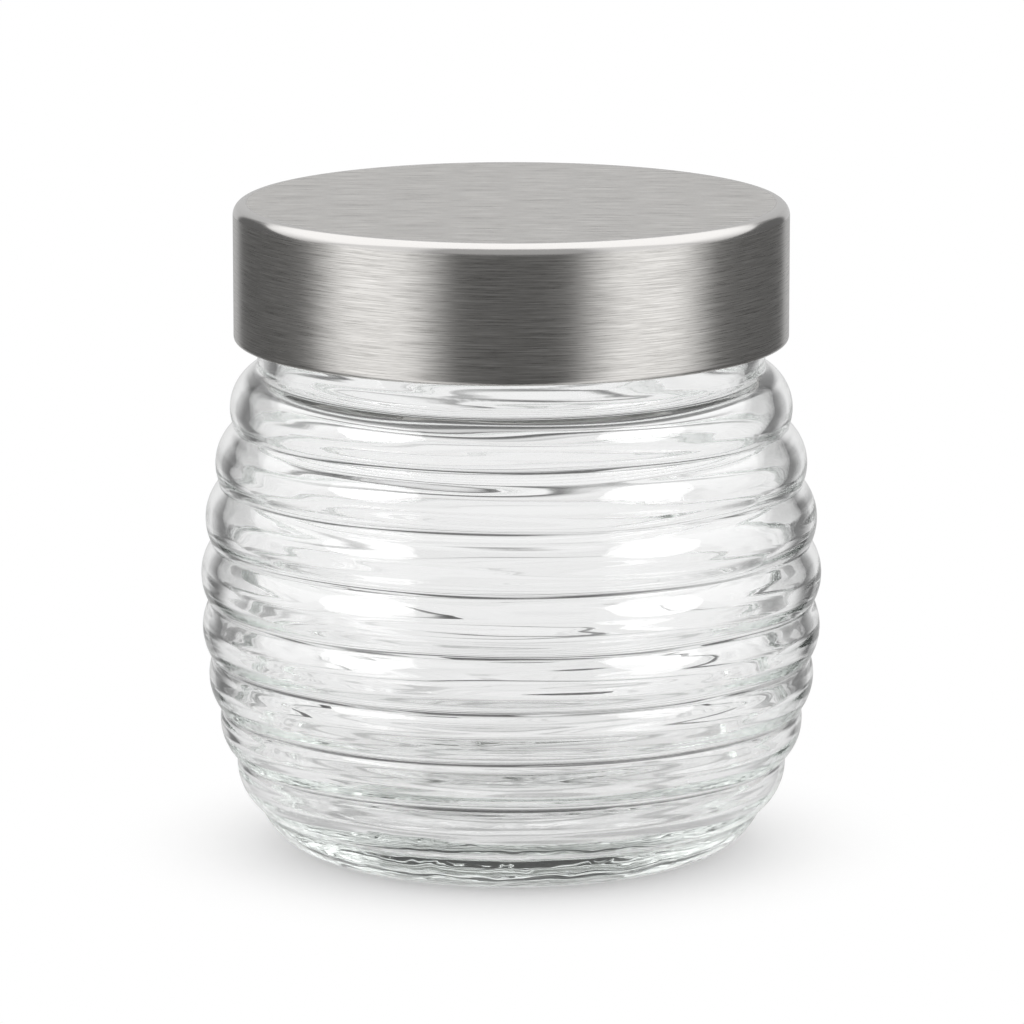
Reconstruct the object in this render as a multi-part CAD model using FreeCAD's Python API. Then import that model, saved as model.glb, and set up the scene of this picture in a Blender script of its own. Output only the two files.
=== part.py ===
import FreeCAD, Part
import math
import os

# Ribbed glass storage jar with a screw-on steel cap.
# Millimetres, +Z up, origin on the table under the jar's axis.

V = FreeCAD.Vector
AXIS = V(0, 0, 1)

# Glass body, from the table up
bearing_radius = 35.3        # outer edge of the flat ring that the jar stands on
bearing_width = 4.0
punt_height = 1.6            # hollow under the base
foot_height = 7.5            # table to the groove above the foot
waist_radius = 45.2          # groove above the foot
belly_radius = 54.1          # widest groove
rib_zone_height = 79.7
neck_radius = 45.3
neck_height = 25.85          # top rib to the rim
wall = 3.4                   # even from the neck to the lowest rib
base_thickness = 7.0
floor_corner_radius = 9.0

# Where each groove lies, from the foot to the neck: its height as a share of the rib zone,
# and its swell as a share of the way from the end radius to the belly.
groove_height_shares = (0, 0.115, 0.224, 0.341, 0.467, 0.601, 0.736, 0.865, 1)
groove_swell_shares = (0, 0.456, 0.762, 0.946, 1, 0.948, 0.780, 0.486, 0)
belly_groove = groove_swell_shares.index(1)

# How far each rib stands out, as a share of the straight line between its grooves
rib_bulge_shares = (0.142, 0.149, 0.144, 0.150, 0.159, 0.163, 0.173, 0.208)
foot_bulge_share = 0.142
corner_room_share = 0.9      # of the slope above the floor, the most that the floor's corner takes
rim_round_share = 0.4        # rounding of the rim, of the wall

# Right-hand screw thread, the same helix on the neck and in the cap
thread_starts = 2
thread_pitch = 6.0
thread_height = 1.4
thread_crest = 1.2
thread_turns = 0.75
thread_drop = 5.0            # rim to the middle of the thread's upper end
thread_flank_share = 0.58    # slope of both flanks, axial run per radial height
thread_runout_share = 0.1    # of the thread's length, at each end
thread_sink = 0.5            # root buried in its wall
thread_steps = 30

# Cap
sheet = 0.42                 # drawn steel shell
lid_corner_radius = 2.15
hem_radius = 0.9             # edge curled inwards
neck_show = 4.7              # neck left bare between the top rib and the cap
insert_wall = 1.88
insert_plate = 1.6
insert_fit = 0.1             # insert inside the shell
lid_thread_crest = 1.0
lid_thread_turns = 0.5
lid_thread_lead_in = 0.1     # turns from the neck thread's lower end to the cap thread's
seal_thickness = 1.5
seal_lap = 0.3               # seal past the inside of the neck
seal_lip_wall = 1.2          # ring under the plate that keeps the seal in place
seal_lip_depth = 1.1
seal_round_share = 0.25

# Fits between the glass and the cap
thread_clearance = 0.4       # neck thread to the insert's wall
thread_root_gap = 0.5        # cap thread to the neck
thread_gap = 0.4             # between the flanks, along the axis
seal_clearance = 0.4

overrun = 2.0                # cutters past the faces that they open
same_height = 0.01           # two heights nearer than this are one

# Heights and radii that follow
rib_top = foot_height + rib_zone_height
rim_height = rib_top + neck_height
neck_bore = neck_radius - wall
plate_under = rim_height + seal_thickness
plate_top = plate_under + insert_plate
lid_top = plate_top + sheet
lid_bottom = rib_top + neck_show
hem_top = lid_bottom + hem_radius
thread_lead = thread_pitch * thread_starts
thread_crest_radius = neck_radius + thread_height
insert_bore = thread_crest_radius + thread_clearance
insert_radius = insert_bore + insert_wall
lid_radius = insert_radius + insert_fit + sheet
lid_thread_radius = neck_radius + thread_root_gap
lid_thread_height = insert_bore - lid_thread_radius
thread_low = rim_height - thread_drop - thread_turns * thread_lead


def at(radius, height):
    """Point of a half section, in the XZ plane."""
    return V(radius, 0, height)


def line(start, end):
    """Straight edge."""
    return Part.makeLine(start, end)


def bulged(start, end, share):
    """Arc that stands out to the right of the way from start to end by a share of its chord."""
    chord = end - start
    outward = V(chord.z, 0, -chord.x)
    return Part.Arc(start, (start + end) / 2 + outward * share, end).toShape()


def rib_centre(start, end, share):
    """Centre of the arc that stands out from its chord by a share of it."""
    chord = end - start
    outward = V(chord.z, 0, -chord.x)
    return (start + end) / 2 - outward * (1 - 4 * share ** 2) / (8 * share)


def one_wall_in(point, centre):
    """Point on the inside of the glass, from a point on the outside towards its arc's centre."""
    way = centre - point
    return point + way * (wall / way.Length)


def arc_about(centre, start, end):
    """Arc about a centre, through the middle of the corner between start and end."""
    towards = (start - centre) + (end - centre)
    towards.normalize()
    return Part.Arc(start, centre + towards * (start - centre).Length, end).toShape()


def outline(points):
    """Straight edges through the points, closed."""
    return [line(a, b) for a, b in zip(points, points[1:] + points[:1])]


def turned(edges):
    """Solid of revolution from a closed half section."""
    return Part.Face(Part.Wire(edges)).revolve(V(0, 0, 0), AXIS, 360)


def ring_edges(shape, height):
    """Edges of a turned shape that lie flat at one height."""
    return [
        edge for edge in shape.Edges
        if max(abs(edge.BoundBox.ZMin - height), abs(edge.BoundBox.ZMax - height)) < same_height
    ]


def groove_line():
    """Bottoms of the grooves, from the foot up to the neck."""
    points = []
    for index, share in enumerate(groove_height_shares):
        end_radius = waist_radius if index < belly_groove else neck_radius
        swell = (belly_radius - end_radius) * groove_swell_shares[index]
        points.append(at(end_radius + swell, foot_height + rib_zone_height * share))
    return points


def thread(root_radius, outward, height, crest, low, first_turn, turns):
    """One thread start as a loft: a trapezoid carried up the helix, fading into its wall at both ends.

    outward is 1 for a thread on a neck and -1 for one in a bore; low is the helix height at turn 0.
    """
    sections = []
    for step in range(thread_steps + 1):
        share = step / thread_steps
        turn = first_turn + turns * share
        fade = min(1, share / thread_runout_share, (1 - share) / thread_runout_share)
        top = height * fade - thread_sink / 2 * (1 - fade)
        middle = low + thread_lead * turn
        half_root = crest / 2 + thread_flank_share * (height + thread_sink)
        half_crest = half_root - thread_flank_share * (top + thread_sink)
        root = root_radius - outward * thread_sink
        tip = root_radius + outward * top
        corners = [
            at(root, middle - half_root), at(tip, middle - half_crest),
            at(tip, middle + half_crest), at(root, middle + half_root),
        ]
        section = Part.makePolygon(corners + corners[:1])
        section.rotate(V(0, 0, 0), AXIS, 360 * turn)
        sections.append(section)
    return Part.makeLoft(sections, True, False)


def thread_set(*sizes):
    """All starts of a thread, evenly spaced about the axis."""
    starts = []
    for index in range(thread_starts):
        start = thread(*sizes)
        start.rotate(V(0, 0, 0), AXIS, 360 * index / thread_starts)
        starts.append(start)
    return starts


def base_hollow():
    """Shallow arc of the underside, from the axis to the bearing ring."""
    reach = bearing_radius - bearing_width
    sphere = (reach ** 2 + punt_height ** 2) / (2 * punt_height)
    halfway = punt_height - sphere + math.sqrt(sphere ** 2 - (reach / 2) ** 2)
    return Part.Arc(at(0, punt_height), at(reach / 2, halfway), at(reach, 0)).toShape()


def jar_cavity():
    """Room inside the jar, one wall behind every rib, with a sloped corner to the floor and an open neck."""
    grooves = groove_line()
    first_centre = rib_centre(grooves[0], grooves[1], rib_bulge_shares[0])
    slope_top = one_wall_in(grooves[0], first_centre)
    reach = slope_top - first_centre
    floor_edge = at(slope_top.x + (slope_top.z - base_thickness) * reach.z / reach.x, base_thickness)
    neck_foot = at(neck_bore, rib_top)
    neck_end = at(neck_bore, rim_height + overrun)
    section = [line(at(0, base_thickness), floor_edge), line(floor_edge, slope_top)]
    last = slope_top
    for low, high, share in zip(grooves, grooves[1:], rib_bulge_shares):
        centre = rib_centre(low, high, share)
        first = one_wall_in(low, centre)
        if low != grooves[0]:
            section.append(arc_about(low, last, first))
        last = one_wall_in(high, centre)
        section.append(arc_about(centre, first, last))
    section += [
        arc_about(grooves[-1], last, neck_foot),
        line(neck_foot, neck_end),
        line(neck_end, at(0, neck_end.z)),
        line(at(0, neck_end.z), at(0, base_thickness)),
    ]
    cavity = turned(section)
    slope = slope_top - floor_edge
    room = corner_room_share * slope.Length / math.tan(math.atan2(slope.z, slope.x) / 2)
    return cavity.makeFillet(min(floor_corner_radius, room), ring_edges(cavity, base_thickness))


def glass_jar():
    """Jar in one piece: foot, ribs, neck with its thread, thick base and rounded rim."""
    bearing_inner = at(bearing_radius - bearing_width, 0)
    bearing_outer = at(bearing_radius, 0)
    grooves = groove_line()
    rim = at(neck_radius, rim_height)
    section = [base_hollow(), line(bearing_inner, bearing_outer)]
    section.append(bulged(bearing_outer, grooves[0], foot_bulge_share))
    for low, high, share in zip(grooves, grooves[1:], rib_bulge_shares):
        section.append(bulged(low, high, share))
    section += [
        line(grooves[-1], rim),
        line(rim, at(0, rim_height)),
        line(at(0, rim_height), at(0, punt_height)),
    ]
    jar = turned(section).cut(jar_cavity())
    jar = jar.makeFillet(wall * rim_round_share, ring_edges(jar, rim_height))
    threads = thread_set(
        neck_radius, 1, thread_height, thread_crest, thread_low, 0, thread_turns)
    return jar.fuse(threads).removeSplitter()


def sealing_ring():
    """Soft flat ring between the glass rim and the cap's plate."""
    inner = neck_bore - seal_lap
    outer = insert_bore - seal_clearance
    ring = turned(outline([
        at(inner, rim_height), at(outer, rim_height), at(outer, plate_under), at(inner, plate_under),
    ]))
    corners = ring_edges(ring, rim_height) + ring_edges(ring, plate_under)
    return ring.makeFillet(seal_thickness * seal_round_share, corners)


def lid_insert():
    """Moulded inner cap: plate, skirt with the thread, and a lip that keeps the seal in place."""
    corner = lid_corner_radius - sheet
    centre = at(insert_radius - corner, plate_top - corner)
    lip_outer = neck_bore - seal_lap - seal_clearance
    lip_inner = lip_outer - seal_lip_wall
    lip_foot = plate_under - seal_lip_depth
    shoulder = at(insert_radius, centre.z)
    crown = at(centre.x, plate_top)
    points = [
        shoulder, at(insert_radius, hem_top), at(insert_bore, hem_top), at(insert_bore, plate_under),
        at(lip_outer, plate_under), at(lip_outer, lip_foot), at(lip_inner, lip_foot),
        at(lip_inner, plate_under), at(0, plate_under), at(0, plate_top), crown,
    ]
    section = [line(a, b) for a, b in zip(points, points[1:])]
    section.append(arc_about(centre, crown, shoulder))
    drop = (thread_crest + lid_thread_crest) / 2 + thread_gap
    drop += thread_flank_share * (thread_crest_radius - lid_thread_radius)
    threads = thread_set(
        insert_bore, -1, lid_thread_height, lid_thread_crest, thread_low - drop,
        lid_thread_lead_in, lid_thread_turns)
    return turned(section).fuse(threads).removeSplitter()


def lid_shell():
    """Drawn steel cup with a rounded top edge and its lower edge curled inwards under the insert."""
    centre = at(lid_radius - lid_corner_radius, lid_top - lid_corner_radius)
    inner_corner = lid_corner_radius - sheet
    inner_radius = lid_radius - sheet
    curl = at(lid_radius - hem_radius, hem_top)
    curl_inner = hem_radius - sheet
    outer_side = [at(lid_radius, centre.z), at(lid_radius, hem_top)]
    inner_side = [at(inner_radius, hem_top), at(inner_radius, centre.z)]
    leg = [at(curl.x - hem_radius, hem_top), at(curl.x - curl_inner, hem_top)]
    crown = [at(centre.x, plate_top), at(0, plate_top), at(0, lid_top), at(centre.x, lid_top)]
    return turned([
        arc_about(centre, crown[-1], outer_side[0]),
        line(*outer_side),
        Part.Arc(outer_side[1], at(curl.x, hem_top - hem_radius), leg[0]).toShape(),
        line(*leg),
        Part.Arc(leg[1], at(curl.x, hem_top - curl_inner), inner_side[0]).toShape(),
        line(*inner_side),
        arc_about(centre, inner_side[1], at(centre.x, centre.z + inner_corner)),
        line(crown[0], crown[1]),
        line(crown[1], crown[2]),
        line(crown[2], crown[3]),
    ])


def main():
    """Build every piece, say what it measures, and write it out."""
    os.makedirs("parts", exist_ok=True)
    for build in (glass_jar, sealing_ring, lid_insert, lid_shell):
        solid = build()
        box = solid.BoundBox
        print(build.__name__, len(solid.Solids), "solid", solid.isValid(), round(solid.Volume),
              "mm3", [round(value, 2) for value in (box.XLength, box.YLength, box.ZMin, box.ZMax)])
        solid.exportStep("parts/" + build.__name__ + ".step")


main()
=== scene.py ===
"""Looks of a ribbed glass storage jar with a screw-on cap of brushed steel.

Every length field is in millimetres unless its name says otherwise; meshes are in metres.
"""

import logging
import math
from dataclasses import dataclass, field
from enum import Enum

import bpy
import numpy as np
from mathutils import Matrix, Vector


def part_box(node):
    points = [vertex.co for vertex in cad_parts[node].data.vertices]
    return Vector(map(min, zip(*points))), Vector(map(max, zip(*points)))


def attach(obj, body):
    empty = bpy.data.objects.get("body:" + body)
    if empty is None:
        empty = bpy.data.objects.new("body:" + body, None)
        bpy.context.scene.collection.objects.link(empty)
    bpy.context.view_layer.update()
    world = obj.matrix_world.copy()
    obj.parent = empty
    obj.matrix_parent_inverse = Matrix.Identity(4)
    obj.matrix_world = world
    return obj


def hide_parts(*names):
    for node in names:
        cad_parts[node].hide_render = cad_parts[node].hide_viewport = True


MM = 0.001
FULL_TURN = 2 * math.pi
LOG = logging.getLogger("jar")

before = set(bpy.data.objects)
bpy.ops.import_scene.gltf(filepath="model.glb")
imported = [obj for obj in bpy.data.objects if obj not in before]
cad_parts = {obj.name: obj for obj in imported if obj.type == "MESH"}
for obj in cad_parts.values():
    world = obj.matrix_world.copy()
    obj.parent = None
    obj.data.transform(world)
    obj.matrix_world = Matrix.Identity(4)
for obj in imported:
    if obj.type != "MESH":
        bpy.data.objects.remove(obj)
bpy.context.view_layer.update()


class Side(Enum):
    """The two sides of the set that a light panel can stand on, seen from the camera."""

    LEFT = -1
    RIGHT = 1


def linear(hex_colour: str) -> tuple[float, float, float, float]:
    """Turn an sRGB hex colour into linear light.

    Args:
        hex_colour: Six hex digits, such as "c8c6c2".

    Returns:
        Red, green, blue and an alpha of 1.
    """
    parts = [int(hex_colour[i:i + 2], 16) / 255 for i in (0, 2, 4)]
    light = [p / 12.92 if p <= 0.04045 else ((p + 0.055) / 1.055) ** 2.4 for p in parts]
    return (*light, 1.0)


def smooth(values: np.ndarray) -> np.ndarray:
    """Ease 0..1 in and out: 3t² - 2t³ of the clipped value."""
    t = np.clip(values, 0, 1)
    return t * t * (3 - 2 * t)


def add_node(tree: bpy.types.NodeTree, kind: str, settings: dict | None = None,
             inputs: dict | None = None) -> bpy.types.Node:
    """Add one node, set its properties, and fill or link its inputs.

    Args:
        tree: The node tree that gets the node.
        kind: The node's type name.
        settings: Property names and their values.
        inputs: Socket names or numbers, each with a value or with the output to link from.

    Returns:
        The new node.
    """
    node = tree.nodes.new(kind)
    for name, value in (settings or {}).items():
        setattr(node, name, value)
    for name, value in (inputs or {}).items():
        if isinstance(value, bpy.types.NodeSocket):
            tree.links.new(value, node.inputs[name])
        else:
            node.inputs[name].default_value = value
    return node


def arc(start: tuple[float, float], end: tuple[float, float], bulge: float, count: int) -> np.ndarray:
    """Points of a circular arc from start up to, but without, end.

    With half angle h = 2·atan(2·bulge) and radius R = chord / (2·sin h), the point at angle t is
    middle + along·R·sin t + right·R·(cos t - cos h), for t from -h to h.

    Args:
        start: Radius and height of the first point.
        end: Radius and height of the last point, which is left out.
        bulge: How far the arc stands out to the right of its chord, as a share of the chord.
        count: Number of points.

    Returns:
        Array of radius and height, count by 2.
    """
    a, b = np.asarray(start, float), np.asarray(end, float)
    chord = np.linalg.norm(b - a)
    along = (b - a) / chord
    right = np.array([along[1], -along[0]])
    half = 2 * math.atan(2 * bulge)
    radius = chord / (2 * math.sin(half))
    t = np.linspace(-half, half, count, endpoint=False)[:, None]
    return (a + b) / 2 + along * radius * np.sin(t) + right * radius * (np.cos(t) - math.cos(half))


def lengths(profile: np.ndarray) -> np.ndarray:
    """Distance along a profile from its first point to each point."""
    steps = np.linalg.norm(np.diff(profile, axis=0), axis=1)
    return np.concatenate([[0.0], np.cumsum(steps)])


def resampled(profile: np.ndarray, places: np.ndarray) -> np.ndarray:
    """Points of a profile at the given distances along it, by linear interpolation."""
    s = lengths(profile)
    return np.stack([np.interp(places, s, profile[:, axis]) for axis in (0, 1)], axis=1)


def softened(profile: np.ndarray, sigma: float, step: float) -> np.ndarray:
    """Round a profile's corners: each point becomes the Gaussian mean of its stretch of the profile.

    Args:
        profile: Radius and height, n by 2.
        sigma: Width of the Gaussian along the profile.
        step: Spacing of the points that come back.

    Returns:
        Evenly spaced points, with the two ends kept where they were.
    """
    total = lengths(profile)[-1]
    even = resampled(profile, np.linspace(0, total, int(total / step) + 1))
    reach = int(4 * sigma / step)
    weights = np.exp(-0.5 * (np.arange(-reach, reach + 1) * step / sigma) ** 2)
    weights /= weights.sum()
    before = 2 * even[0] - even[reach:0:-1]
    after = 2 * even[-1] - even[-2:-reach - 2:-1]
    padded = np.concatenate([before, even, after])
    return np.stack([np.convolve(padded[:, axis], weights, "valid") for axis in (0, 1)], axis=1)


def rows_by_bend(profile: np.ndarray, count: int, bend_weight: float) -> np.ndarray:
    """Thin a dense profile to a few rows, closest together where it bends most.

    The rows are even steps of the integral of 1 + weight·|turn per length|.

    Args:
        profile: Dense, evenly spaced points.
        count: Number of rows.
        bend_weight: Length that counts as one radian of bend.

    Returns:
        The rows, with both ends kept.
    """
    s = lengths(profile)
    heading = np.unwrap(np.arctan2(*np.diff(profile, axis=0).T[::-1]))
    turn = np.abs(np.diff(heading, append=heading[-1:])) * bend_weight
    cost = np.concatenate([[0.0], np.cumsum(np.diff(s) + turn)])
    return resampled(profile, np.interp(np.linspace(0, cost[-1], count), cost, s))


@dataclass
class TurnedMesh:
    """A surface of revolution: a profile of radius and height carried round the Z axis.

    The point at row i and angle a is (r·cos a, r·sin a, z), where r may also change with the angle.
    A profile that starts or ends on the axis is closed there by one pole vertex.
    """

    name: str
    profile: np.ndarray
    columns: int
    swell: np.ndarray | None = None

    def angles(self) -> np.ndarray:
        """Angle of each column."""
        return np.arange(self.columns) * FULL_TURN / self.columns

    def build(self) -> bpy.types.Object:
        """Make the mesh and its object.

        Returns:
            The object, linked to the scene, with smooth faces.
        """
        on_axis = self.profile[:, 0] < 1e-6
        ring = self.profile[~on_axis]
        radius = np.repeat(ring[:, :1], self.columns, axis=1)
        if self.swell is not None:
            radius = radius + self.swell[~on_axis]
        a = self.angles()
        grid = np.stack([radius * np.cos(a), radius * np.sin(a),
                         np.repeat(ring[:, 1:], self.columns, axis=1)], axis=-1)
        verts = grid.reshape(-1, 3) * MM
        quads, fans = self._faces(len(ring), bool(on_axis[0]), bool(on_axis[-1]))
        poles = self.profile[on_axis]
        tips = np.stack([poles[:, 0], poles[:, 0], poles[:, 1]], axis=1) * MM
        return self._object(np.concatenate([verts, tips]), quads, fans)

    def _faces(self, rows: int, first_pole: bool, last_pole: bool) -> tuple[np.ndarray, np.ndarray]:
        """Corner numbers of the faces.

        Args:
            rows: Rings of vertices.
            first_pole: Whether the first ring is closed by a pole.
            last_pole: Whether the last ring is closed by a pole.

        Returns:
            Quads, four corners each, and triangles at the poles.
        """
        j = np.arange(self.columns)
        k = (j + 1) % self.columns
        low = np.arange(rows - 1)[:, None] * self.columns
        high = low + self.columns
        quads = np.stack([low + j, low + k, high + k, high + j], axis=-1).reshape(-1, 4)
        fans = []
        pole = rows * self.columns
        if first_pole:
            fans.append(np.stack([np.full_like(j, pole), k, j], axis=1))
            pole += 1
        if last_pole:
            base = (rows - 1) * self.columns
            fans.append(np.stack([np.full_like(j, pole), base + j, base + k], axis=1))
        return quads, np.concatenate(fans) if fans else np.empty((0, 3), int)

    def _object(self, verts: np.ndarray, quads: np.ndarray, fans: np.ndarray) -> bpy.types.Object:
        """Put vertices and faces into a mesh object.

        Args:
            verts: Vertex places in metres.
            quads: Corner numbers of the quads.
            fans: Corner numbers of the triangles.

        Returns:
            The object.
        """
        mesh = bpy.data.meshes.new(self.name)
        corners = np.concatenate([quads.ravel(), fans.ravel()]).astype(np.int32)
        sizes = np.concatenate([np.full(len(quads), 4), np.full(len(fans), 3)]).astype(np.int32)
        mesh.vertices.add(len(verts))
        mesh.vertices.foreach_set("co", verts.astype(np.float32).ravel())
        mesh.loops.add(len(corners))
        mesh.loops.foreach_set("vertex_index", corners)
        mesh.polygons.add(len(sizes))
        starts = np.concatenate([[0], np.cumsum(sizes)[:-1]]).astype(np.int32)
        mesh.polygons.foreach_set("loop_start", starts)
        mesh.polygons.foreach_set("use_smooth", np.ones(len(sizes), bool))
        mesh.update(calc_edges=True)
        mesh.validate()
        obj = bpy.data.objects.new(self.name, mesh)
        bpy.context.collection.objects.link(obj)
        return obj


@dataclass(frozen=True)
class ClearGlass:
    """Soda-lime glass, pressed and fire polished: clear, with a faint green where it is thick."""

    ior: float = 1.52
    tint: str = "ffffff"
    deep_tint: str = "c8d2cc"
    depth_per_metre: float = 6.0
    wave_run_mm: float = 90.0
    wave_rise_mm: float = 1.6
    wave_depth_mm: float = 0.02
    mark_mm: float = 8.0
    mark_depth_mm: float = 0.3
    mark_top_mm: float = 18.0

    def material(self) -> bpy.types.Material:
        """Glass with a slow unevenness that bends what is seen through it, and mould marks at the base."""
        # Pressing leaves the wall faintly uneven in level waves, and the thick base in rounder ones, so
        # what is seen through it breaks into lines and curls; thick places look green.
        mat = bpy.data.materials.new("soda_lime_glass_pressed")
        mat.use_nodes = True
        tree = mat.node_tree
        tree.nodes.clear()
        place = add_node(tree, "ShaderNodeTexCoord")
        run, rise = 1 / (self.wave_run_mm * MM), 1 / (self.wave_rise_mm * MM)
        level = add_node(tree, "ShaderNodeMapping", {"vector_type": "POINT"}, {
            "Vector": place.outputs["Object"], "Scale": (run, run, rise)})
        wave = add_node(tree, "ShaderNodeTexNoise", None, {
            "Vector": level.outputs["Vector"], "Scale": 1.0, "Detail": 1.0})
        mark = add_node(tree, "ShaderNodeTexNoise", None, {
            "Vector": place.outputs["Object"], "Scale": 1 / (self.mark_mm * MM), "Detail": 1.0})
        axes = add_node(tree, "ShaderNodeSeparateXYZ", None, {0: place.outputs["Object"]})
        low = add_node(tree, "ShaderNodeMapRange", {"interpolation_type": "SMOOTHSTEP"}, {
            "Value": axes.outputs["Z"], "From Min": self.mark_top_mm * MM, "From Max": 0.0,
            "To Max": self.mark_depth_mm})
        marked = add_node(tree, "ShaderNodeMath", {"operation": "MULTIPLY"}, {
            0: mark.outputs["Fac"], 1: low.outputs[0]})
        height = add_node(tree, "ShaderNodeMath", {"operation": "MULTIPLY_ADD"}, {
            0: wave.outputs["Fac"], 1: self.wave_depth_mm, 2: marked.outputs[0]})
        bump = add_node(tree, "ShaderNodeBump", None, {
            "Height": height.outputs[0], "Strength": 1.0, "Distance": MM})
        surface = add_node(tree, "ShaderNodeBsdfPrincipled", None, {
            "Base Color": linear(self.tint), "Roughness": 0.0, "IOR": self.ior,
            "Transmission Weight": 1.0, "Normal": bump.outputs["Normal"]})
        depth = add_node(tree, "ShaderNodeVolumeAbsorption", None, {
            "Color": linear(self.deep_tint), "Density": self.depth_per_metre})
        add_node(tree, "ShaderNodeOutputMaterial", None, {
            "Surface": surface.outputs["BSDF"], "Volume": depth.outputs["Volume"]})
        return mat


@dataclass(frozen=True)
class BrushedSteel:
    """Stainless steel, drawn and brushed: fine level scratches that spread light across themselves."""

    pale: str = "e0dedb"
    deep: str = "9b9996"
    worn: str = "d2d0ce"
    scratch_mm: float = 0.2
    run_mm: float = 11.0
    fineness: float = 0.8
    line_span: tuple[float, float] = (0.25, 0.75)
    bump: float = 0.02
    bump_mm: float = 0.01
    roughness: float = 0.29
    roughness_change: float = 0.03
    polished_roughness: float = 0.15
    anisotropy: float = 0.65
    brush_turn: float = 0.25

    def material(self) -> bpy.types.Material:
        """Metal whose scratches follow the brush map, and whose rounded edge is worn smooth."""
        # Brushing leaves short bright and dark hairlines, and draws each highlight out across them.
        mat = bpy.data.materials.new("stainless_steel_brushed")
        mat.use_nodes = True
        tree = mat.node_tree
        tree.nodes.clear()
        brush = add_node(tree, "ShaderNodeUVMap", {"uv_map": "brush"})
        across, along = 1 / (self.scratch_mm * MM), 1 / (self.run_mm * MM)
        stretched = add_node(tree, "ShaderNodeMapping", {"vector_type": "POINT"}, {
            "Vector": brush.outputs["UV"], "Scale": (along, across, 1.0)})
        scratch = add_node(tree, "ShaderNodeTexNoise", {"noise_dimensions": "2D"}, {
            "Vector": stretched.outputs["Vector"], "Scale": 1.0, "Detail": 3.0, "Roughness": self.fineness})
        line = add_node(tree, "ShaderNodeMapRange", None, {
            "Value": scratch.outputs["Fac"], "From Min": self.line_span[0], "From Max": self.line_span[1]})
        polish = add_node(tree, "ShaderNodeAttribute", {"attribute_name": "polish"})
        shade = add_node(tree, "ShaderNodeMix", {"data_type": "RGBA"}, {
            "Factor": line.outputs["Result"], 6: linear(self.deep), 7: linear(self.pale)})
        rough = add_node(tree, "ShaderNodeMapRange", None, {
            "Value": line.outputs["Result"], "To Min": self.roughness - self.roughness_change,
            "To Max": self.roughness + self.roughness_change})
        tone = add_node(tree, "ShaderNodeMix", {"data_type": "RGBA"}, {
            "Factor": polish.outputs["Fac"], 6: shade.outputs[2], 7: linear(self.worn)})
        worn = add_node(tree, "ShaderNodeMix", {"data_type": "FLOAT"}, {
            "Factor": polish.outputs["Fac"], 2: rough.outputs["Result"], 3: self.polished_roughness})
        bump = add_node(tree, "ShaderNodeBump", None, {
            "Height": line.outputs["Result"], "Strength": self.bump, "Distance": self.bump_mm * MM})
        tangent = add_node(tree, "ShaderNodeTangent", {"direction_type": "UV_MAP", "uv_map": "brush"})
        surface = add_node(tree, "ShaderNodeBsdfPrincipled", None, {
            "Base Color": tone.outputs[2], "Metallic": 1.0, "Roughness": worn.outputs[0],
            "Anisotropic": self.anisotropy, "Anisotropic Rotation": self.brush_turn,
            "Normal": bump.outputs["Normal"], "Tangent": tangent.outputs["Tangent"]})
        add_node(tree, "ShaderNodeOutputMaterial", None, {"Surface": surface.outputs["BSDF"]})
        return mat


@dataclass(frozen=True)
class MouldedPlastic:
    """A moulded plastic or rubber: matt, with a fine grain from the mould."""

    name: str
    pale: str
    deep: str
    roughness: float
    grain_mm: float
    grain_depth_mm: float = 0.05
    grain_strength: float = 0.15
    grains_to_cloud: float = 20.0

    def material(self) -> bpy.types.Material:
        """Matt surface with a faint cloudy tone and a fine grain."""
        # Moulding leaves an even matt skin that takes light softly, with broad highlights and no glints.
        mat = bpy.data.materials.new(self.name)
        mat.use_nodes = True
        tree = mat.node_tree
        tree.nodes.clear()
        place = add_node(tree, "ShaderNodeTexCoord")
        cloud = add_node(tree, "ShaderNodeTexNoise", None, {
            "Vector": place.outputs["Object"], "Detail": 2.0,
            "Scale": 1 / (self.grains_to_cloud * self.grain_mm * MM)})
        grain = add_node(tree, "ShaderNodeTexNoise", None, {
            "Vector": place.outputs["Object"], "Scale": 1 / (self.grain_mm * MM), "Detail": 2.0})
        shade = add_node(tree, "ShaderNodeMix", {"data_type": "RGBA"}, {
            "Factor": cloud.outputs["Fac"], 6: linear(self.deep), 7: linear(self.pale)})
        bump = add_node(tree, "ShaderNodeBump", None, {
            "Height": grain.outputs["Fac"], "Strength": self.grain_strength,
            "Distance": self.grain_depth_mm * MM})
        surface = add_node(tree, "ShaderNodeBsdfPrincipled", None, {
            "Base Color": shade.outputs[2], "Roughness": self.roughness, "Normal": bump.outputs["Normal"]})
        add_node(tree, "ShaderNodeOutputMaterial", None, {"Surface": surface.outputs["BSDF"]})
        return mat


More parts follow.
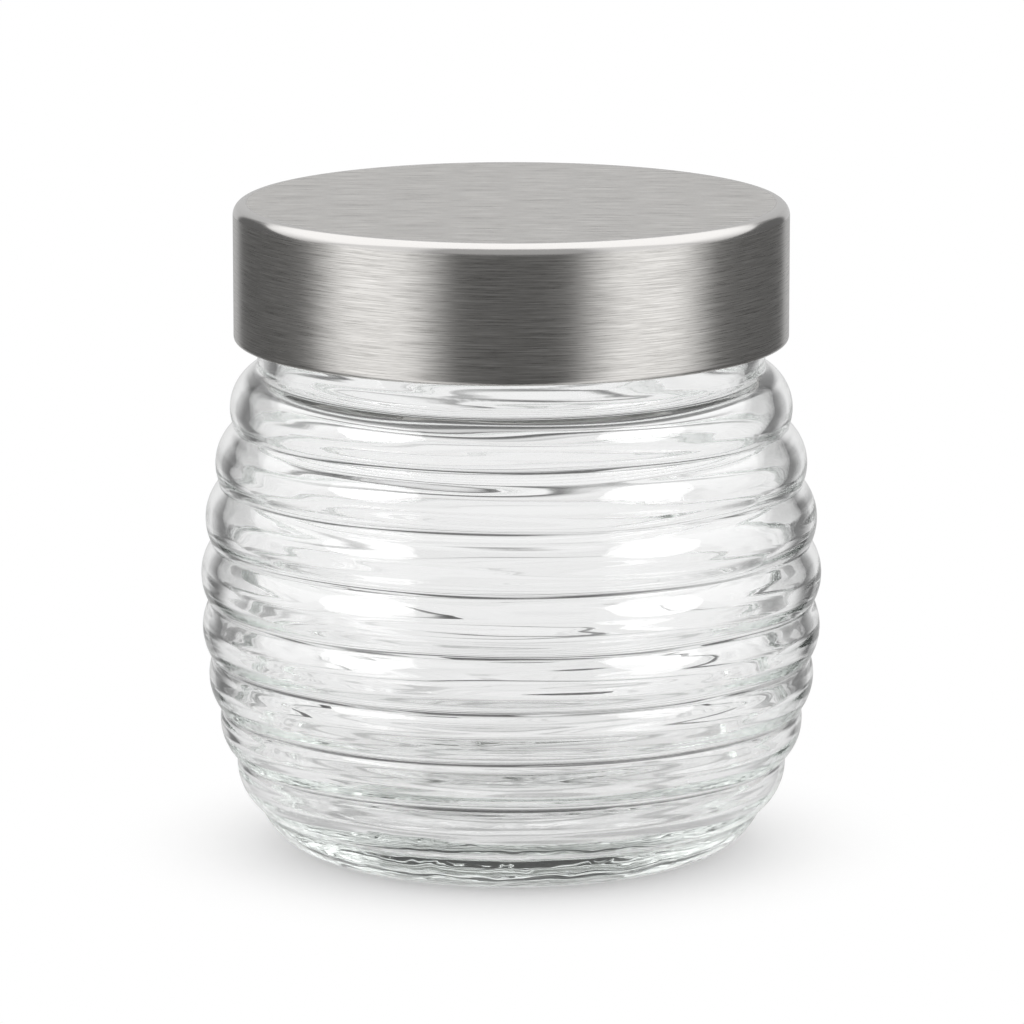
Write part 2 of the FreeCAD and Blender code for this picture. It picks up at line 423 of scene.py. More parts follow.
@dataclass
class GlassJar:
    """The jar in one piece of glass: foot, stacked ribs, neck with its screw thread, and thick base."""

    bearing_radius: float = 35.3
    bearing_width: float = 4.0
    punt_height: float = 1.6
    foot_height: float = 7.5
    waist_radius: float = 45.2
    belly_radius: float = 54.1
    rib_zone_height: float = 79.7
    neck_radius: float = 45.3
    rim_height: float = field(default_factory=lambda: float(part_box("glass_jar")[1][2]) / MM)
    wall: float = 3.4
    rim_round: float = 1.36
    base_thickness: float = 7.0
    floor_corner_radius: float = 9.0
    groove_heights: tuple[float, ...] = (0, 0.115, 0.224, 0.341, 0.467, 0.601, 0.736, 0.865, 1)
    groove_swells: tuple[float, ...] = (0, 0.456, 0.762, 0.946, 1, 0.948, 0.780, 0.486, 0)
    rib_bulges: tuple[float, ...] = (0.142, 0.149, 0.144, 0.150, 0.159, 0.163, 0.173, 0.208)
    foot_bulge: float = 0.142
    groove_round: float = 0.12
    inner_round: float = 0.3
    uneven: float = 0.02
    uneven_waves: int = 10
    uneven_seed: int = 7
    uneven_lengths: tuple[float, float] = (3.0, 11.0)
    uneven_turns: int = 6
    uneven_inside: float = 30.0
    uneven_fade: float = 8.0
    rim_calm: float = 4.0
    ripple: float = 0.07
    ripples_per_rib: float = 4.0
    thread_starts: int = 2
    thread_pitch: float = 6.0
    thread_height: float = 1.4
    thread_crest: float = 1.2
    thread_turns: float = 0.75
    thread_drop: float = 5.0
    thread_flank: float = 0.58
    columns: int = 160
    rows: int = 290
    bend_weight: float = 4.0
    arc_points: int = 60
    step: float = 0.05

    def grooves(self) -> np.ndarray:
        """Bottoms of the grooves from the foot up: radius eased from the end radius to the belly's."""
        height = np.asarray(self.groove_heights)
        swell = np.asarray(self.groove_swells)
        ends = np.where(np.arange(len(swell)) < int(swell.argmax()), self.waist_radius, self.neck_radius)
        return np.stack([ends + (self.belly_radius - ends) * swell,
                         self.foot_height + self.rib_zone_height * height], axis=1)

    def outside(self) -> np.ndarray:
        """Outer profile from the bearing ring to the rim: one arc per rib, with softened grooves."""
        grooves = self.grooves()
        bearing = (self.bearing_radius, 0.0)
        arcs = [arc(bearing, grooves[0], self.foot_bulge, self.arc_points)]
        arcs += [arc(a, b, bulge, self.arc_points)
                 for a, b, bulge in zip(grooves, grooves[1:], self.rib_bulges)]
        neck = [grooves[-1:], [[self.neck_radius, self.rim_height - self.rim_round]]]
        return softened(np.concatenate(arcs + neck), self.groove_round, self.step)

    def inside(self, outside: np.ndarray) -> np.ndarray:
        """Inner profile from the rim to the floor's centre.

        The wall is the outer profile moved square to itself by the wall's thickness, so that the inside
        repeats the ribs. Below the lowest rib it runs straight on to the floor, and the corner there is
        the curve (1-t)²·before + 2t(1-t)·edge + t²·after.

        Args:
            outside: The outer profile, evenly spaced.

        Returns:
            Radius and height from the rim down to the axis.
        """
        along = np.gradient(outside, axis=0)
        along /= np.linalg.norm(along, axis=1, keepdims=True)
        inner = outside + np.stack([-along[:, 1], along[:, 0]], axis=1) * self.wall
        lowest = self.foot_height + 4 * self.groove_round
        ribbed = inner[outside[:, 1] > lowest][::-1]
        way = ribbed[-1] - ribbed[-2]
        way /= np.linalg.norm(way)
        edge = ribbed[-1] + way * (self.base_thickness - ribbed[-1, 1]) / way[1]
        reach = self.floor_corner_radius * math.tan(math.acos(-way[0]) / 2)
        before, after = edge - way * reach, edge - [reach, 0.0]
        t = np.linspace(0, 1, 12)[:, None]
        corner = (1 - t) ** 2 * before + 2 * t * (1 - t) * edge + t ** 2 * after
        whole = np.concatenate([ribbed, corner, [[0.0, self.base_thickness]]])
        line = softened(whole, self.inner_round, self.step)
        line[-1, 0] = 0.0
        return line

    def profile(self) -> np.ndarray:
        """Closed half section: underside, outside, rounded rim and inside."""
        outside = self.outside()
        inside = self.inside(outside)
        reach = self.bearing_radius - self.bearing_width
        under = np.linspace(0, 1, 14)[:, None]
        base = np.concatenate([under * reach, self.punt_height * (1 - under ** 2)], axis=1)
        ring = np.linspace(reach, self.bearing_radius, 6)[1:-1, None]
        bearing = np.concatenate([ring, np.zeros_like(ring)], axis=1)
        turn = np.linspace(0, math.pi, 18)[1:-1, None]
        middle, flat = self.neck_radius - self.wall / 2, self.wall / 2 - self.rim_round
        rim = np.concatenate([middle + np.sign(np.cos(turn)) * flat + self.rim_round * np.cos(turn),
                              self.rim_height + self.rim_round * (np.sin(turn) - 1)], axis=1)
        bore = rows_by_bend(inside, self.rows, self.bend_weight)
        bore[-1, 0] = 0.0
        outer = rows_by_bend(outside, self.rows, self.bend_weight)
        return np.concatenate([base, bearing, outer, rim, bore])

    def thread(self, profile: np.ndarray, angles: np.ndarray) -> np.ndarray:
        """Height of the screw thread over the neck, for every row and column.

        Each start climbs by its lead per turn; across it the height falls from the crest along both
        flanks, and it fades out over a tenth of its length at each end.

        Args:
            profile: Rows of radius and height.
            angles: Angle of each column.

        Returns:
            Radial swell in millimetres, rows by columns.
        """
        lead = self.thread_pitch * self.thread_starts
        low = self.rim_height - self.thread_drop - self.thread_turns * lead
        outer = (profile[:, 0] > self.neck_radius - 0.01) & (profile[:, 1] > low - self.thread_pitch)
        swell = np.zeros((len(profile), len(angles)))
        for start in range(self.thread_starts):
            turn = ((angles / FULL_TURN - start / self.thread_starts) % 1.0)[None, :]
            off = np.abs(profile[:, 1:] - low - lead * turn)
            reach = self.thread_crest / 2 + self.thread_flank * self.thread_height
            across = smooth((reach - off) / (self.thread_flank * self.thread_height))
            ends = smooth(np.minimum(turn, self.thread_turns - turn) / (0.1 * self.thread_turns))
            swell = np.maximum(swell, self.thread_height * across * ends)
        return swell * outer[:, None]

    def unevenness(self, profile: np.ndarray, angles: np.ndarray) -> np.ndarray:
        """Slow waves left in the inside by the moulding, for every row and column.

        The sum of sines of 2π·z / length + turns·angle + shift, each with its own length and shift,
        and ripples of (1 - rib/ribs)·sin(2π·k·rib), k to each rib, level all round and none at the neck.

        Args:
            profile: Rows of radius and height.
            angles: Angle of each column.

        Returns:
            Radial swell in millimetres, rows by columns.
        """
        draw = np.random.default_rng(self.uneven_seed)
        length = draw.uniform(*self.uneven_lengths, self.uneven_waves)
        turns = draw.integers(-self.uneven_turns, self.uneven_turns + 1, self.uneven_waves)
        shift = draw.uniform(0, FULL_TURN, self.uneven_waves)
        height = profile[:, 1, None, None]
        waves = np.sin(FULL_TURN * height / length + turns * angles[None, :, None] + shift)
        top = int(profile[:, 1].argmax())
        inner = np.zeros(len(profile))
        out = (profile[top:, 0] - self.uneven_inside) / self.uneven_fade
        below = (self.rim_height - self.rim_calm - profile[top:, 1]) / self.rim_calm
        inner[top:] = smooth(out) * smooth(below)
        bottoms = self.grooves()[:, 1]
        rib = np.interp(profile[:, 1], bottoms, np.arange(len(bottoms)))
        ripples = ((1 - rib / rib.max()) * np.sin(FULL_TURN * self.ripples_per_rib * rib))[:, None]
        return (self.uneven * waves.sum(axis=2) + self.ripple * ripples) * inner[:, None]

    def swell(self, profile: np.ndarray, angles: np.ndarray) -> np.ndarray:
        """All that stands off the turned profile: the thread outside and the waves inside."""
        return self.thread(profile, angles) + self.unevenness(profile, angles)

    def build(self, finish: ClearGlass) -> bpy.types.Object:
        """Make the jar, dress it and let it stand for its CAD node.

        Args:
            finish: The glass.

        Returns:
            The jar's object.
        """
        profile = self.profile()
        turned = TurnedMesh("glass_jar_body", profile, self.columns)
        turned.swell = self.swell(profile, turned.angles())
        jar = turned.build()
        jar.data.materials.append(finish.material())
        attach(jar, "jar")
        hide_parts("glass_jar")
        return jar


@dataclass
class ScrewCap:
    """The cap: a steel shell with a curled hem, over a moulded inner cap, over a soft seal."""

    radius: float = 49.5
    sheet: float = 0.42
    corner_radius: float = 2.15
    hem_radius: float = 0.9
    top_coarseness: tuple[float, float] = (1.0, 2.5)
    flat_from: float = 0.7
    polish_from_deg: float = 6.0
    polish_ease_deg: float = 8.0
    worn_width: float = 0.5
    columns: int = 256
    bottom: float = field(default_factory=lambda: float(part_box("lid_shell")[0][2]) / MM)
    top: float = field(default_factory=lambda: float(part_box("lid_shell")[1][2]) / MM)

    def shell_profile(self) -> np.ndarray:
        """Half section of the shell: top, rounded edge, side, curl, and the same way back inside."""
        def bend(r: float, z: float, size: float, first: float, last: float, count: int) -> np.ndarray:
            """Arc about a centre: (r + size·cos t, z + size·sin t)."""
            t = np.linspace(math.radians(first), math.radians(last), count)
            return np.stack([r + size * np.cos(t), z + size * np.sin(t)], axis=1)

        def straight(r0: float, z0: float, r1: float, z1: float, count: int) -> np.ndarray:
            """Even points between two places, both left out."""
            t = np.linspace(0, 1, count + 2)[1:-1, None]
            return np.array([[r0, z0]]) * (1 - t) + np.array([[r1, z1]]) * t

        edge = self.radius - self.corner_radius
        high = self.top - self.corner_radius
        curl, hem = self.radius - self.hem_radius, self.bottom + self.hem_radius
        inner = self.radius - self.sheet
        return np.concatenate([
            [[0.0, self.top]], straight(0, self.top, edge - self.worn_width, self.top, 16),
            [[edge - self.worn_width, self.top]],
            bend(edge, high, self.corner_radius, 90, 0, 22),
            straight(self.radius, high, self.radius, hem, 12),
            bend(curl, hem, self.hem_radius, 0, -180, 20),
            bend(curl, hem, self.hem_radius - self.sheet, -180, 0, 14),
            straight(inner, hem, inner, high, 6),
            bend(edge, high, self.corner_radius - self.sheet, 0, 90, 10),
            straight(edge, self.top - self.sheet, 0, self.top - self.sheet, 4),
            [[0.0, self.top - self.sheet]],
        ])

    def brush_map(self, shell: bpy.types.Object) -> None:
        """Lay a UV map whose U runs with the brush marks.

        On the side U, V are the way round and the height, in metres. On the flat top they are x and y,
        each divided by its own coarseness.

        Args:
            shell: The shell's object.
        """
        mesh = shell.data
        vertex = np.empty(len(mesh.loops), np.int32)
        mesh.loops.foreach_get("vertex_index", vertex)
        place = self._read(mesh.vertices, "co")[vertex]
        sizes = np.empty(len(mesh.polygons), np.int32)
        mesh.polygons.foreach_get("loop_total", sizes)
        face = np.repeat(np.arange(len(sizes)), sizes)
        flat = np.abs(self._read(mesh.polygons, "normal")[face, 2]) > self.flat_from
        middle = self._read(mesh.polygons, "center")[face]
        facing = np.arctan2(middle[:, 1], middle[:, 0])
        turn = np.arctan2(place[:, 1], place[:, 0])
        turn = facing + (turn - facing + math.pi) % FULL_TURN - math.pi
        # The camera looks along the top, which would press its marks together, so they are drawn coarser
        # to show.
        uv = np.where(flat[:, None], place[:, :2] / self.top_coarseness,
                      np.stack([turn * self.radius * MM, place[:, 2]], axis=1))
        mesh.uv_layers.new(name="brush").data.foreach_set("uv", uv.astype(np.float32).ravel())

    def polish_edge(self, shell: bpy.types.Object) -> None:
        """Mark the rounded edge as worn smooth: 1 along its arc, eased to 0 at the side and the top.

        Args:
            shell: The shell's object.
        """
        place = self._read(shell.data.vertices, "co") / MM
        out = np.hypot(place[:, 0], place[:, 1]) - (self.radius - self.corner_radius)
        lift = place[:, 2] - (self.top - self.corner_radius)
        rise = np.degrees(np.arctan2(lift, out))
        ease = smooth((rise - self.polish_from_deg) / self.polish_ease_deg)
        on_edge = (out > -self.worn_width / 2) & (lift > 0)
        polish = shell.data.attributes.new("polish", "FLOAT", "POINT")
        polish.data.foreach_set("value", np.where(on_edge, ease, 0.0).astype(np.float32))

    @staticmethod
    def _read(parts: bpy.types.bpy_prop_collection, name: str) -> np.ndarray:
        """One three-part value of every vertex or face."""
        values = np.empty(len(parts) * 3, np.float32)
        parts.foreach_get(name, values)
        return values.reshape(-1, 3)

    def build(self, steel: BrushedSteel, plastic: MouldedPlastic,
              rubber: MouldedPlastic) -> list[bpy.types.Object]:
        """Make the shell and dress the inner cap and the seal.

        Args:
            steel: Finish of the shell.
            plastic: Finish of the inner cap.
            rubber: Finish of the seal.

        Returns:
            The pieces.
        """
        shell = TurnedMesh("lid_shell_steel", self.shell_profile()[::-1], self.columns).build()
        self.brush_map(shell)
        self.polish_edge(shell)
        shell.data.materials.append(steel.material())
        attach(shell, "lid")
        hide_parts("lid_shell")
        pieces = [shell]
        for node, finish in (("lid_insert", plastic), ("sealing_ring", rubber)):
            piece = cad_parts[node]
            piece.data.materials.clear()
            piece.data.materials.append(finish.material())
            pieces.append(piece)
        return pieces


@dataclass
class Studio:
    """White set: the camera, a pale floor, three soft panels, and what glass and steel see around them.

    Levels are brightness, where 1 is white. Glass and steel are shown different soft lights.
    """

    camera_back: float = 1266.06
    camera_height: float = 309.99
    camera_pitch_deg: float = 11.158
    lens: float = 253.2
    sensor: float = 36.0
    axis_left_of_centre_px: float = 0.7
    image_px: float = 1024.0
    clip: tuple[float, float] = (0.05, 50.0)
    floor_radius: float = 260.0
    floor_columns: int = 96
    floor_colour: str = "f4f4f4"
    floor_lift: float = 0.09
    shadow_from: float = 16.0
    shadow_to: float = 74.0
    room_level: float = 0.10
    table_level: float = 0.93
    # Painted caustics: rings of painted shade on the floor seen through the glass, near the jar.
    ring_pitch: float = 14.0
    ring_depth: float = 0.4
    ring_from: float = 0.3
    ring_reach: float = 150.0
    flag_turn_deg: float = 38.0
    flag_half_deg: float = 13.0
    flag_soft_deg: float = 9.0
    flag_depth: float = 0.78
    # From here on the flags' shade is painted on the floor seen through the glass.
    flag_from: float = 110.0
    # Painted shade: the floor seen through the glass is darker under the jar, in place of its shadow.
    under_level: float = 0.88
    under_reach: float = 30.0
    open_reach: float = 110.0
    table_line_deg: float = -1.5
    table_soft_deg: float = 5.0
    table_curve: float = 0.4
    table_curve_deg: float = 30.0
    backdrop_half_deg: float = 28.0
    backdrop_soft_deg: float = 4.0
    backdrop_level: float = 0.63
    wall_half_deg: float = 95.0
    wall_soft_deg: float = 10.0
    wall_level: float = 0.16
    canopy_tilt_deg: float = 16.0
    canopy_half_deg: float = 41.0
    canopy_soft_deg: float = 2.0
    canopy_level: float = 1.45
    canopy_low_share: float = 0.4
    canopy_full_deg: float = 40.0
    front_half_deg: float = 45.0
    front_soft_deg: float = 10.0
    front_level: float = 0.5
    front_low_share: float = 0.26
    front_full_deg: float = 20.0
    panel_turn_deg: float = 60.0
    panel_distance: float = 900.0
    panel_width: float = 800.0
    panel_height: float = 1200.0
    panel_level: float = 0.8
    overhead_height: float = 900.0
    overhead_back: float = 220.0
    overhead_size: float = 900.0
    overhead_level: float = 1.0
    band_turn_deg: float = 121.0
    band_half_deg: float = 25.5
    band_soft_deg: float = 16.0
    band_level: float = 1.42
    band_top_deg: float = 18.0
    band_top_share: float = 0.7
    box_turn_deg: float = 60.0
    box_rise_deg: float = 28.0
    box_radius_deg: float = 18.0
    box_soft_deg: float = 1.0
    box_level: float = 4.0
    fill_level: float = 0.52
    bounces: int = 48

    def camera(self) -> bpy.types.Object:
        """Place the camera where the photograph was taken from.

        Returns:
            The camera's object.
        """
        data = bpy.data.cameras.new("view")
        data.lens, data.sensor_width = self.lens, self.sensor
        data.shift_x = self.axis_left_of_centre_px / self.image_px
        data.clip_start, data.clip_end = self.clip
        cam = bpy.data.objects.new("view", data)
        cam.location = (0.0, -self.camera_back * MM, self.camera_height * MM)
        cam.rotation_euler = (math.radians(90 - self.camera_pitch_deg), 0.0, 0.0)
        bpy.context.collection.objects.link(cam)
        bpy.context.scene.camera = cam
        return cam

    def floor(self) -> bpy.types.Object:
        """Pale floor that is white to the camera and keeps the jar's soft shadow.

        To the camera it fades to plain white away from the jar. Through the glass it is white, with painted
        shade:
        darker under the jar, with faint rings of painted caustics near it, and with the flags' shade
        painted on further off.

        Returns:
            The floor's object.
        """
        profile = np.array([[0.0, 0.0], [self.floor_radius / 2, 0.0], [self.floor_radius, 0.0]])
        floor = TurnedMesh("floor", profile[::-1], self.floor_columns).build()
        mat = bpy.data.materials.new("white_paper_sweep")
        mat.use_nodes = True
        tree = mat.node_tree
        tree.nodes.clear()
        ray = add_node(tree, "ShaderNodeLightPath")
        place = add_node(tree, "ShaderNodeTexCoord")
        reach = add_node(tree, "ShaderNodeVectorMath", {"operation": "LENGTH"}, {
            0: place.outputs["Object"]})
        matt = add_node(tree, "ShaderNodeBsdfDiffuse", None, {"Color": linear(self.floor_colour)})
        lift = add_node(tree, "ShaderNodeEmission", None, {
            "Color": (1, 1, 1, 1), "Strength": self.floor_lift})
        both = add_node(tree, "ShaderNodeAddShader", None, {0: matt.outputs[0], 1: lift.outputs[0]})
        plain = add_node(tree, "ShaderNodeEmission", None, {"Color": (1, 1, 1, 1), "Strength": 1.0})
        far = add_node(tree, "ShaderNodeMapRange", {"interpolation_type": "SMOOTHSTEP"}, {
            "Value": reach.outputs["Value"], "From Min": self.shadow_from * MM,
            "From Max": self.shadow_to * MM})
        shown = add_node(tree, "ShaderNodeMixShader", None, {
            "Fac": far.outputs[0], 1: both.outputs[0], 2: plain.outputs[0]})
        # Painted shade: through the glass the floor is darker under the jar, in place of the jar's shadow
        # there.
        shaded = add_node(tree, "ShaderNodeMapRange", {"interpolation_type": "SMOOTHSTEP"}, {
            "Value": reach.outputs["Value"], "From Min": self.under_reach * MM,
            "From Max": self.open_reach * MM, "To Min": self.under_level, "To Max": self.table_level})
        # Painted shade: further off, the flags' shade is painted on the floor that the glass sees.
        flags = self.flags(tree, place.outputs["Object"])
        beyond = add_node(tree, "ShaderNodeMapRange", {"interpolation_type": "SMOOTHSTEP"}, {
            "Value": reach.outputs["Value"], "From Min": self.flag_from * MM,
            "From Max": self.ring_reach * MM})
        paper_with_flag_shade = add_node(tree, "ShaderNodeMix", {"data_type": "FLOAT"}, {
            "Factor": beyond.outputs[0], 2: 1.0, 3: flags})
        # Painted caustics: near the jar the floor that the glass sees has faint rings of painted shade.
        phase = add_node(tree, "ShaderNodeMath", {"operation": "MULTIPLY"}, {
            0: reach.outputs["Value"], 1: FULL_TURN / (self.ring_pitch * MM)})
        swing = add_node(tree, "ShaderNodeMath", {"operation": "SINE"}, {0: phase.outputs[0]})
        rings = add_node(tree, "ShaderNodeMapRange", {"interpolation_type": "SMOOTHSTEP"}, {
            "Value": swing.outputs[0], "From Min": self.ring_from, "From Max": 1.0,
            "To Min": 1.0, "To Max": 1.0 - self.ring_depth})
        calm = add_node(tree, "ShaderNodeMapRange", {"interpolation_type": "SMOOTHSTEP"}, {
            "Value": reach.outputs["Value"], "From Min": self.under_reach * MM,
            "From Max": self.ring_reach * MM})
        faded = add_node(tree, "ShaderNodeMix", {"data_type": "FLOAT"}, {
            "Factor": calm.outputs[0], 2: rings.outputs[0], 3: 1.0})
        painted_shade_and_rings = add_node(tree, "ShaderNodeMath", {"operation": "MULTIPLY"}, {
            0: shaded.outputs[0], 1: faded.outputs[0]})
        level = add_node(tree, "ShaderNodeMath", {"operation": "MULTIPLY"}, {
            0: painted_shade_and_rings.outputs[0], 1: paper_with_flag_shade.outputs[0]})
        # Through the glass the floor glows with this painted light and shade.
        table = add_node(tree, "ShaderNodeEmission", None, {
            "Color": (1, 1, 1, 1), "Strength": level.outputs[0]})
        seen = matt
        for kind, look in (("Is Transmission Ray", table), ("Is Camera Ray", shown)):
            seen = add_node(tree, "ShaderNodeMixShader", None, {
                "Fac": ray.outputs[kind], 1: seen.outputs[0], 2: look.outputs[0]})
        add_node(tree, "ShaderNodeOutputMaterial", None, {"Surface": seen.outputs[0]})
        floor.data.materials.append(mat)
        floor.visible_glossy = False
        return floor

    def flags(self, tree: bpy.types.NodeTree, way: bpy.types.NodeSocket) -> bpy.types.NodeSocket:
        """Share of white left by two dark flags that stand behind the jar, one to each side.

        With off the level angle of a direction or place from straight behind the jar, the share is 1,
        less the flags' depth where off is near their turn. On the floor, seen through the glass, this share
        is painted shade.

        Args:
            tree: The floor's or the world's node tree.
            way: A direction, or a place as seen from the jar's axis.

        Returns:
            The output that holds the share.
        """
        axes = add_node(tree, "ShaderNodeSeparateXYZ", None, {0: way})
        turn = add_node(tree, "ShaderNodeMath", {"operation": "ARCTAN2"}, {
            0: axes.outputs["X"], 1: axes.outputs["Y"]})
        off = add_node(tree, "ShaderNodeMath", {"operation": "ABSOLUTE"}, {0: turn.outputs[0]})
        past = add_node(tree, "ShaderNodeMath", {"operation": "SUBTRACT"}, {
            0: off.outputs[0], 1: math.radians(self.flag_turn_deg)})
        apart = add_node(tree, "ShaderNodeMath", {"operation": "ABSOLUTE"}, {0: past.outputs[0]})
        return add_node(tree, "ShaderNodeMapRange", {"interpolation_type": "SMOOTHSTEP"}, {
            "Value": apart.outputs[0], "From Min": math.radians(self.flag_half_deg - self.flag_soft_deg),
            "From Max": math.radians(self.flag_half_deg + self.flag_soft_deg),
            "To Min": 1.0 - self.flag_depth, "To Max": 1.0}).outputs[0]

    def panel(self, name: str, place: tuple[float, float, float], aim: tuple[float, float, float],
              width: float, height: float, level: float) -> bpy.types.Object:
        """One soft panel of even brightness.

        Args:
            name: The lamp's name.
            place: Its centre, in millimetres.
            aim: The point that it faces, in millimetres.
            width: Its width.
            height: Its height.
            level: Its brightness, where 1 is white.

        Returns:
            The lamp's object.
        """
        data = bpy.data.lights.new(name, "AREA")
        data.shape, data.size, data.size_y = "RECTANGLE", width * MM, height * MM
        data.energy = level * math.pi * width * height * MM * MM
        lamp = bpy.data.objects.new(name, data)
        lamp.location = [v * MM for v in place]
        way = Vector(aim) - Vector(place)
        lamp.rotation_euler = way.to_track_quat("-Z", "Y").to_euler()
        lamp.visible_camera = lamp.visible_glossy = lamp.visible_transmission = False
        bpy.context.collection.objects.link(lamp)
        return lamp

    def lamps(self) -> None:
        """Stand a soft panel on each side of the camera and hang one over the jar."""
        for side in Side:
            turn = math.radians(self.panel_turn_deg) * side.value
            x = math.sin(turn) * self.panel_distance
            y = -math.cos(turn) * self.panel_distance
            middle = self.panel_height / 2
            self.panel("panel_" + side.name.lower(), (x, y, middle), (0, 0, 0),
                       self.panel_width, self.panel_height, self.panel_level)
        self.panel("panel_overhead", (0, self.overhead_back, self.overhead_height), (0, 0, 0),
                   self.overhead_size, self.overhead_size, self.overhead_level)

    def surroundings(self) -> None:
        """White to the camera; glass and metal see a dim room with a white set and two round soft boxes.

        With up the height of a direction and off its level angle from straight behind the jar, the level
        is the highest of the room's, the overhead canopy's, the soft lights' and one more. The soft lights
        are round boxes to the sharp glass, and tall even bands to the brushed metal. Through the glass the
        last is the white paper's, under its top edge and between the flags; in reflections it is the
        backdrop's, where off is small, the wall's beside it, or the room's front. Bands, front and canopy
        change with height, so that the cap's top keeps its tone from every side.
        """
        world = bpy.data.worlds.new("studio")
        bpy.context.scene.world = world
        world.use_nodes = True
        tree = world.node_tree
        tree.nodes.clear()
        ray = add_node(tree, "ShaderNodeLightPath")
        way = add_node(tree, "ShaderNodeTexCoord")
        axes = add_node(tree, "ShaderNodeSeparateXYZ", None, {0: way.outputs["Generated"]})
        turn = add_node(tree, "ShaderNodeMath", {"operation": "ARCTAN2"}, {
            0: axes.outputs["X"], 1: axes.outputs["Y"]})
        off = add_node(tree, "ShaderNodeMath", {"operation": "ABSOLUTE"}, {0: turn.outputs[0]})
        up = add_node(tree, "ShaderNodeMath", {"operation": "ARCSINE"}, {0: axes.outputs["Z"]})
        curved = add_node(tree, "ShaderNodeMath", {"operation": "MINIMUM"}, {
            0: off.outputs[0], 1: math.radians(self.table_curve_deg)})
        over_line = add_node(tree, "ShaderNodeMath", {"operation": "MULTIPLY_ADD"}, {
            0: curved.outputs[0], 1: -self.table_curve, 2: up.outputs[0]})
        right = add_node(tree, "ShaderNodeMath", {"operation": "ABSOLUTE"}, {0: axes.outputs["X"]})
        folded = add_node(tree, "ShaderNodeCombineXYZ", None, {
            0: right.outputs[0], 1: axes.outputs["Y"], 2: axes.outputs["Z"]})
        side, rise = math.radians(self.box_turn_deg), math.radians(self.box_rise_deg)
        middle = (math.sin(side) * math.cos(rise), -math.cos(side) * math.cos(rise), math.sin(rise))
        nearness = add_node(tree, "ShaderNodeVectorMath", {"operation": "DOT_PRODUCT"}, {
            0: folded.outputs[0], 1: middle})
        from_box = add_node(tree, "ShaderNodeMath", {"operation": "ARCCOSINE"}, {
            0: nearness.outputs["Value"]})
        lean = add_node(tree, "ShaderNodeMath", {"operation": "ARCTAN2"}, {
            0: axes.outputs["Y"], 1: axes.outputs["Z"]})
        past = add_node(tree, "ShaderNodeMath", {"operation": "SUBTRACT"}, {
            0: lean.outputs[0], 1: math.radians(self.canopy_tilt_deg)})
        from_canopy = add_node(tree, "ShaderNodeMath", {"operation": "ABSOLUTE"}, {0: past.outputs[0]})
        aside = add_node(tree, "ShaderNodeMath", {"operation": "SUBTRACT"}, {
            0: off.outputs[0], 1: math.radians(self.band_turn_deg)})
        from_band = add_node(tree, "ShaderNodeMath", {"operation": "ABSOLUTE"}, {0: aside.outputs[0]})
        from_front = add_node(tree, "ShaderNodeMath", {"operation": "SUBTRACT"}, {
            0: math.pi, 1: off.outputs[0]})
        levels = {}
        for name, angle, edge, soft, level in (
                ("table", over_line, self.table_line_deg, self.table_soft_deg, self.table_level),
                ("backdrop", off, self.backdrop_half_deg, self.backdrop_soft_deg, self.backdrop_level),
                ("wall", off, self.wall_half_deg, self.wall_soft_deg, self.wall_level),
                ("front", from_front, self.front_half_deg, self.front_soft_deg, self.front_level),
                ("bands", from_band, self.band_half_deg, self.band_soft_deg, self.band_level),
                ("boxes", from_box, self.box_radius_deg, self.box_soft_deg, self.box_level),
                ("canopy", from_canopy, self.canopy_half_deg, self.canopy_soft_deg, self.canopy_level)):
            levels[name] = add_node(tree, "ShaderNodeMapRange", {"interpolation_type": "SMOOTHSTEP"}, {
                "Value": angle.outputs[0], "From Min": math.radians(edge + soft),
                "From Max": math.radians(edge - soft), "To Max": level}).outputs[0]
        for name, full, low_share, full_share in (
                ("bands", self.band_top_deg, 1.0, self.band_top_share),
                ("front", self.front_full_deg, self.front_low_share, 1.0),
                ("canopy", self.canopy_full_deg, self.canopy_low_share, 1.0)):
            share = add_node(tree, "ShaderNodeMapRange", {"interpolation_type": "SMOOTHSTEP"}, {
                "Value": up.outputs[0], "From Max": math.radians(full),
                "To Min": low_share, "To Max": full_share})
            levels[name] = add_node(tree, "ShaderNodeMath", {"operation": "MULTIPLY"}, {
                0: levels[name], 1: share.outputs[0]}).outputs[0]
        around = levels["backdrop"]
        for name in ("wall", "front"):
            around = add_node(tree, "ShaderNodeMath", {"operation": "MAXIMUM"}, {
                0: around, 1: levels[name]}).outputs[0]
        white = add_node(tree, "ShaderNodeMath", {"operation": "MULTIPLY"}, {
            0: levels["table"], 1: self.flags(tree, way.outputs["Generated"])})
        lit = add_node(tree, "ShaderNodeMix", {"data_type": "FLOAT"}, {
            "Factor": ray.outputs["Is Transmission Ray"], 2: around, 3: white.outputs[0]})
        soft = add_node(tree, "ShaderNodeMix", {"data_type": "FLOAT"}, {
            "Factor": ray.outputs["Is Singular Ray"], 2: levels["bands"], 3: levels["boxes"]})
        level = lit.outputs[0]
        for other in (soft.outputs[0], levels["canopy"], self.room_level):
            level = add_node(tree, "ShaderNodeMath", {"operation": "MAXIMUM"}, {
                0: level, 1: other}).outputs[0]
        for kind, strength in (("Is Diffuse Ray", self.fill_level), ("Is Camera Ray", 1.0)):
            level = add_node(tree, "ShaderNodeMix", {"data_type": "FLOAT"}, {
                "Factor": ray.outputs[kind], 2: level, 3: strength}).outputs[0]
        background = add_node(tree, "ShaderNodeBackground", None, {
            "Color": (1, 1, 1, 1), "Strength": level})
        add_node(tree, "ShaderNodeOutputWorld", None, {"Surface": background.outputs[0]})

    def build(self) -> None:
        """Set up camera, floor, lamps and surroundings."""
        self.camera()
        self.floor()
        self.lamps()
        self.surroundings()
        scene = bpy.context.scene
        scene.view_settings.view_transform = "Standard"
        scene.cycles.max_bounces = self.bounces
        scene.cycles.glossy_bounces = self.bounces
        scene.cycles.transmission_bounces = self.bounces
        scene.cycles.caustics_reflective = False


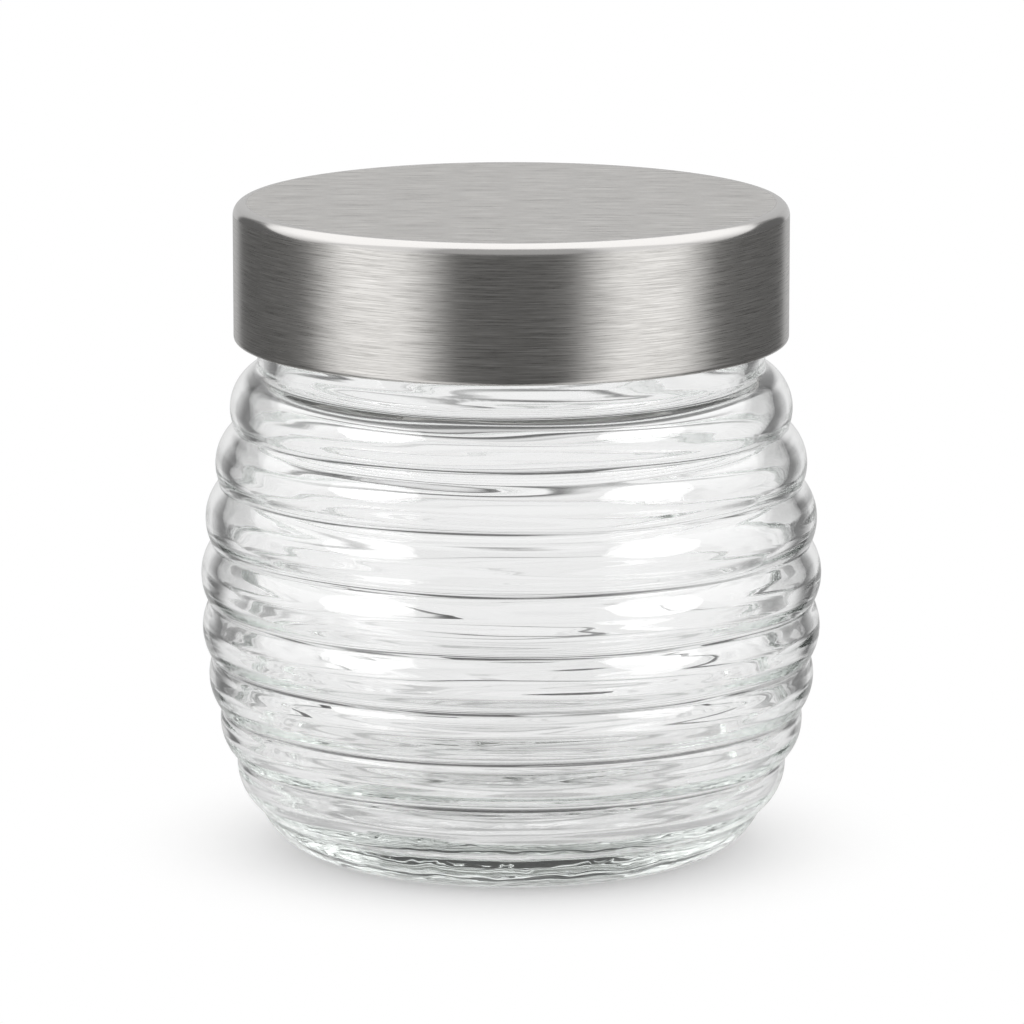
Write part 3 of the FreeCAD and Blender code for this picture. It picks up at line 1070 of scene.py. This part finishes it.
def main() -> None:
    """Build the studio, the jar and the cap, and report each piece."""
    logging.basicConfig(level=logging.INFO, format="%(name)s: %(message)s")
    Studio().build()
    pieces = [GlassJar().build(ClearGlass())]
    pieces += ScrewCap().build(
        BrushedSteel(),
        MouldedPlastic("polypropylene_moulded", "f1f1ee", "e6e6e2", 0.42, 0.25),
        MouldedPlastic("silicone_rubber_moulded", "e9e9e4", "dcdcd6", 0.55, 0.3),
    )
    for piece in pieces:
        LOG.info("%s: %d faces", piece.name, len(piece.data.polygons))


if __name__ == "__main__":
    main()
